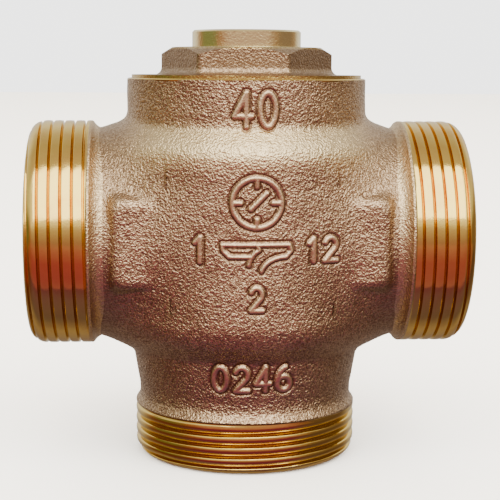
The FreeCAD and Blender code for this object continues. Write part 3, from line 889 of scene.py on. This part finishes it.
class VALVE_OT_cartridge(bpy.types.Operator):
    """Finishes the pieces inside: seats, cage, discs, capsule, piston and seals"""

    bl_idname = "valve.cartridge"
    bl_label = "Cartridge"

    def execute(self, context):
        brass = plain_metal("turned_brass", (0.78, 0.55, 0.25), 0.26)
        copper = plain_metal("drawn_brass", (0.80, 0.50, 0.27), 0.22)
        steel = plain_metal("polished_steel", (0.62, 0.62, 0.63), 0.18)
        rubber = soft_material("seal_rubber", (0.018, 0.018, 0.02), 0.55)
        fibre = soft_material("gasket_fibre", (0.10, 0.16, 0.12), 0.7)
        wax = soft_material("wax", (0.62, 0.50, 0.22), 0.4)
        dressed = {
            brass: ("seat_ring", "spacer_cage", "spring_cup", "disc_nut"),
            copper: ("capsule_cup", "capsule_cap"),
            steel: ("piston", "upper_disc", "lower_disc", "plug_circlip"),
            rubber: ("rubber_boot", "upper_disc_seal", "lower_disc_seal"),
            fibre: ("plug_gasket", "seat_gasket"),
            wax: ("wax_charge",),
        }
        for material, nodes in dressed.items():
            for node in nodes:
                dress(node, material)
        return {"FINISHED"}


class VALVE_OT_springs(bpy.types.Operator):
    """Winds the return spring and the overtravel spring"""

    bl_idname = "valve.springs"
    bl_label = "Springs"

    def execute(self, context):
        steel = plain_metal("spring_steel", (0.55, 0.55, 0.57), 0.24, 3.0)
        self.wind("return_coil", "return_spring", "element_slide", 0, 13.5, 1.5, 4.5, steel)
        self.wind("overtravel_coil", "overtravel_spring", "overtravel_slide", 1, 7.7, 2.2, 4.0, steel)
        return {"FINISHED"}

    def wind(self, name, node, joint, fixed_end, mean, wire, turns, steel):
        """A coil that fills its node's height.

        Each point climbs by its own height, so the wire's section is drawn out upright along the coil.
        """
        low, high = (corner.z / MM - AXIS_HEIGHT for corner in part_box(node))
        steps, dead = 40, 0.75 / turns
        bm = bmesh.new()
        ring = bmesh.ops.create_circle(bm, cap_ends=True, segments=14, radius=wire / 2)["verts"]
        turn = Matrix.Translation((mean, 0, 0)) @ Matrix.Rotation(math.pi / 2, 4, "X")
        bmesh.ops.transform(bm, matrix=turn, verts=ring)
        bmesh.ops.spin(
            bm,
            geom=bm.verts[:] + bm.edges[:] + bm.faces[:],
            cent=(0, 0, 0),
            axis=(0, 0, 1),
            dvec=(0, 0, 1 / steps),
            angle=math.tau * turns,
            steps=int(steps * turns),
            use_duplicate=False,
        )
        span = high - low - wire
        length = max(vert.co.z for vert in bm.verts) - wire / 2
        for vert in bm.verts:
            share = min(max(vert.co.z / length, 0), 1)
            rise = min(max((share - dead) / (1 - 2 * dead), 0), 1)
            vert.co.z += low + wire / 2 - share * length + rise * span
        merged(bm)
        piece = finish_piece(name, bm, "valve", [steel], replaced=[node])
        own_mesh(piece)


class VALVE_OT_studio(bpy.types.Operator):
    """Lays the floor, hangs the lights and places the camera"""

    bl_idname = "valve.studio"
    bl_label = "Studio"

    def execute(self, context):
        settings = context.scene.valve_studio
        self.floor(settings.floor_color)
        self.lights(settings.key_power)
        self.camera(context.scene, settings.lens)
        return {"FINISHED"}

    def floor(self, color):
        """A wide pale floor."""
        bm = bmesh.new()
        bmesh.ops.create_grid(bm, x_segments=2, y_segments=2, size=4)
        mesh = bpy.data.meshes.new("floor")
        bm.to_mesh(mesh)
        bm.free()
        floor = bpy.data.objects.new("floor", mesh)
        bpy.context.scene.collection.objects.link(floor)
        floor.visible_glossy = False
        shader = Shader("floor_paper", Metallic=0.0, Roughness=0.6)
        shader.set(Base_Color=shader.mix(shader.noise(3, 2.0), color, tuple(c * 0.985 for c in color)))
        mesh.materials.append(shader.material)

    def lights(self, power):
        """A wide soft key, two dim warm cards on the floor in front, and the surroundings."""
        lamps = [
            ("key", (0.22, -1.40, 1.56), (0, 0, 0.048), (3.0, 2.2), power, (1, 0.98, 0.93)),
            ("red_card", (-0.21, -0.205, 0.001), (-0.21, -0.205, 1), (0.40, 0.31), 0.085, (1.0, 0.28, 0.22)),
            ("brown_card", (0.19, -0.205, 0.001), (0.19, -0.205, 1), (0.40, 0.31), 0.085, (1.0, 0.40, 0.29)),
        ]
        for name, place, target, size, watts, color in lamps:
            light = bpy.data.lights.new(name, "AREA")
            light.shape = "RECTANGLE"
            light.size, light.size_y = size
            light.energy = watts
            light.color = color
            lamp = bpy.data.objects.new(name, light)
            lamp.location = place
            aim = Vector(target) - lamp.location
            lamp.rotation_euler = aim.to_track_quat("-Z", "Y").to_euler()
            lamp.visible_camera = False
            bpy.context.scene.collection.objects.link(lamp)
        self.surroundings()

    def surroundings(self):
        """A room that is bright above, dark and reddish below, and plain pale to the camera."""
        world = bpy.data.worlds.new("studio")
        bpy.context.scene.world = world
        world.use_nodes = True
        tree = Tree(world.node_tree)
        direction = tree.node("ShaderNodeTexCoord", {}, {}, "Generated")
        across, depth, height = (tree.node("ShaderNodeSeparateXYZ", {}, {0: direction}, way) for way in "XYZ")
        climb = height.math("ARCTAN2", depth * -1.0) * (0.5 / math.pi) + 0.5
        stops = [
            (-180, (0.8, 0.75, 0.68)),
            (-165, (0.45, 0.40, 0.36)),
            (-148, (0.20, 0.15, 0.13)),
            (-118, (0.30, 0.22, 0.16)),
            (-95, (0.13, 0.092, 0.12)),
            (-66, (0.15, 0.078, 0.14)),
            (-44, (0.14, 0.018, 0.080)),
            (-26, (0.17, 0.018, 0.070)),
            (-13, (0.26, 0.10, 0.12)),
            (-2, (0.42, 0.26, 0.22)),
            (9, (0.60, 0.47, 0.36)),
            (15, (1.2, 1.1, 0.92)),
            (66, (1.2, 1.15, 1.0)),
            (80, (0.60, 0.50, 0.39)),
            (104, (0.50, 0.42, 0.34)),
            (122, (0.60, 0.55, 0.48)),
            (145, (0.9, 0.86, 0.78)),
            (180, (0.8, 0.75, 0.68)),
        ]
        front = tree.gradient(climb, [(place / 360 + 0.5, color) for place, color in stops])
        low, high = height.ramp(-0.25, -0.02), height.ramp(0.08, 0.35)
        beyond = across.math("ABSOLUTE").ramp(0.88, 0.97)
        left = tree.mix(low, (0.12, 0.035, 0.03), tree.mix(beyond, (0.30, 0.14, 0.07), (0.16, 0.17, 0.07)))
        right = tree.mix(low, (0.10, 0.06, 0.05), tree.mix(beyond, (0.26, 0.15, 0.08), (0.19, 0.13, 0.09)))
        left, right = tree.mix(high, left, (0.70, 0.67, 0.52)), tree.mix(high, right, (0.70, 0.64, 0.52))
        side = tree.mix(across.ramp(-0.3, 0.3), left, right)
        lit = tree.mix(across.math("ABSOLUTE").ramp(0.6, 0.95), front, side)
        seen = tree.node("ShaderNodeLightPath", {}, {}, "Is Camera Ray")
        spread = tree.node("ShaderNodeLightPath", {}, {}, "Is Diffuse Ray")
        shader = tree.nodes["Background"]
        tree.feed(shader.inputs[0], tree.mix(seen, lit, (1.0, 1.0, 0.99)))
        tree.feed(shader.inputs[1], seen * 2.05 + spread * 6.0 + 1.3)

    def camera(self, scene, lens):
        """The camera, from slightly above and in front."""
        data = bpy.data.cameras.new("camera")
        data.lens = lens
        data.sensor_width = 36
        data.clip_start = 0.01
        camera = bpy.data.objects.new("camera", data)
        place = Vector((-17.06, -291.63, 35.48 + AXIS_HEIGHT)) * MM
        turn = Matrix.Rotation(-0.0618, 4, "Z")
        turn @= Matrix.Rotation(-0.135, 4, "X") @ Matrix.Rotation(-0.0055, 4, "Y")
        camera.matrix_world = Matrix.Translation(place) @ turn @ Matrix.Rotation(math.pi / 2, 4, "X")
        scene.collection.objects.link(camera)
        scene.camera = camera


STEPS = (
    VALVE_OT_casting,
    VALVE_OT_port_threads,
    VALVE_OT_plug,
    VALVE_OT_cartridge,
    VALVE_OT_springs,
    VALVE_OT_studio,
)


class VALVE_PT_panel(bpy.types.Panel):
    """Lists the valve's settings and steps"""

    bl_idname = "VALVE_PT_panel"
    bl_label = "Mixing valve"
    bl_space_type = "VIEW_3D"
    bl_region_type = "UI"
    bl_category = "Valve"

    def draw(self, context):
        for group in GROUPS:
            settings = getattr(context.scene, group)
            for name in settings.bl_rna.properties.keys():
                if name not in ("rna_type", "name"):
                    self.layout.prop(settings, name)
        for step in STEPS:
            self.layout.operator(step.bl_idname)


GROUPS = {"valve_casting": CastingSettings, "valve_brass": BrassSettings, "valve_studio": StudioSettings}


def register():
    """Registers the classes and hangs the settings on the scene."""
    for item in (*GROUPS.values(), *STEPS, VALVE_PT_panel):
        bpy.utils.register_class(item)
    for name, group in GROUPS.items():
        setattr(bpy.types.Scene, name, bpy.props.PointerProperty(type=group))


def unregister():
    """Takes the settings and classes away again."""
    for name in GROUPS:
        delattr(bpy.types.Scene, name)
    for item in (VALVE_PT_panel, *reversed(STEPS), *reversed(list(GROUPS.values()))):
        bpy.utils.unregister_class(item)


def main():
    """Builds every piece in order."""
    register()
    for step in STEPS:
        family, name = step.bl_idname.split(".")
        getattr(getattr(bpy.ops, family), name)()


if __name__ == "__main__":
    main()
